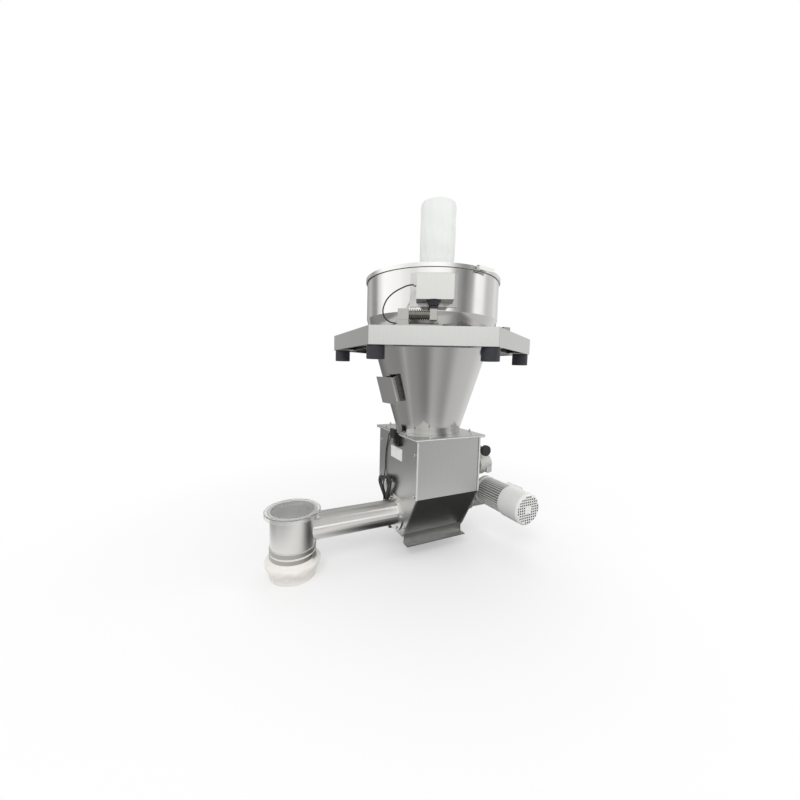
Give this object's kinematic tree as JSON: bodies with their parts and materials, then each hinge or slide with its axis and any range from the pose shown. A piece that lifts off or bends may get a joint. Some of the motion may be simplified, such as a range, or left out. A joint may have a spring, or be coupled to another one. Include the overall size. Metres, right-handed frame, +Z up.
{
  "type": "volumetric screw feeder",
  "caption": "Powder hopper with lid and vent bag hung in a hexagonal weighing platform, over a trough with agitator and screw, a discharge tube with sleeve and a geared drive",
  "frame": {"origin": "centre of the circle of platform feet, on the plane of their undersides, on the hopper's axis", "axes": "X runs along the screw from the outlet at -X to the drive at +X, -Y is the side with the motor's fan cowl, +Z is up"},
  "size_m": [1.157, 0.9238, 1.607],
  "materials": {
    "polished": "polished stainless steel",
    "satin": "satin ground stainless steel",
    "bright": "bright stainless steel",
    "casting": "blasted casting",
    "motor_paint": "light grey enamel",
    "black_rubber": "matt",
    "black_plastic": "moulded",
    "cable_jacket": "smooth cable jacket",
    "white_seal": "white silicone",
    "white_sleeve": "white coated cloth",
    "filter_cloth": "white needle felt",
    "clear_plastic": "clear acrylic"
  },
  "bodies": {
    "machine": {"hopper_shell": "polished", "plate_holder": "polished", "screw_tube": "polished", "outlet_tube": "polished", "platform_frame": "satin", "front_panel": "satin", "back_panel": "satin", "discharge_plate": "satin", "drive_plate": "satin", "front_rail": "satin", "back_rail": "satin", "screw_trough": "satin", "trough_flange": "satin", "hopper_flange": "satin", "load_hood_1": "satin", "load_hood_2": "satin", "load_hood_3": "satin", "cell_bases": "bright", "trough_bolts": "bright", "plate_screws": "bright", "cable_hook": "bright", "upper_hose_clamp": "bright", "lower_hose_clamp": "bright", "load_cell_1": "bright", "load_cell_2": "bright", "load_cell_3": "bright", "screw_lantern": "casting", "screw_gearbox": "casting", "agitator_neck": "casting", "agitator_gearbox": "casting", "motor_body": "motor_paint", "fan_cowl": "motor_paint", "terminal_box": "motor_paint", "agitator_motor": "motor_paint", "platform_feet": "black_rubber", "rubber_mount_1": "black_rubber", "rubber_mount_2": "black_rubber", "rubber_mount_3": "black_rubber", "guard_switch": "black_plastic", "switch_plug": "black_plastic", "cell_cable": "cable_jacket", "switch_cable": "cable_jacket", "switch_cable_coil": "cable_jacket", "trough_gasket": "white_seal", "outlet_sleeve": "white_sleeve"},
    "lid": {"lid": "polished", "lid_seal": "white_seal", "clamp_ring": "bright", "vent_stub": "polished", "filter_bag": "filter_cloth", "bag_clamp": "bright", "refill_spigot": "polished"},
    "lever": {"ring_lever": "bright"},
    "cap": {"sight_cap": "clear_plastic"},
    "screw": {"screw_shaft": "bright", "screw_flight": "bright"},
    "rotor": {"motor_rotor": "black_plastic"},
    "agitator": {"agitator": "bright"},
    "knob": {"clamp_knob": "black_plastic"}
  },
  "joints": [
    {"name": "screw_spin", "type": "hinge", "parent": "machine", "child": "screw", "pos_m": [0, 0, -0.699], "axis": [1, 0, 0], "continuous": true},
    {"name": "screw_motor_spin", "type": "hinge", "parent": "machine", "child": "rotor", "pos_m": [0.316, 0, -0.636], "axis": [0, -1, 0], "continuous": true},
    {"name": "agitator_spin", "type": "hinge", "parent": "machine", "child": "agitator", "pos_m": [0, 0, -0.517], "axis": [1, 0, 0], "continuous": true},
    {"name": "lid_lift", "type": "slide", "parent": "machine", "child": "lid", "axis": [0, 0, 1], "range_m": [0, 0.3]},
    {"name": "ring_lever_swing", "type": "hinge", "parent": "lid", "child": "lever", "pos_m": [0.01103, -0.31538, 0.36], "axis": [0, 0, -1], "range_deg": [0, 100]},
    {"name": "sight_cap_lift", "type": "slide", "parent": "machine", "child": "cap", "axis": [0, 0, 1], "range_m": [0, 0.08]},
    {"name": "clamp_knob_turn", "type": "hinge", "parent": "machine", "child": "knob", "pos_m": [0.315, -0.05, -0.436], "axis": [0, -1, 0], "range_deg": [0, 720]}
  ],
  "couplings": [
    {"joint": "screw_motor_spin", "follows": "screw_spin", "ratio": 20}
  ]
}
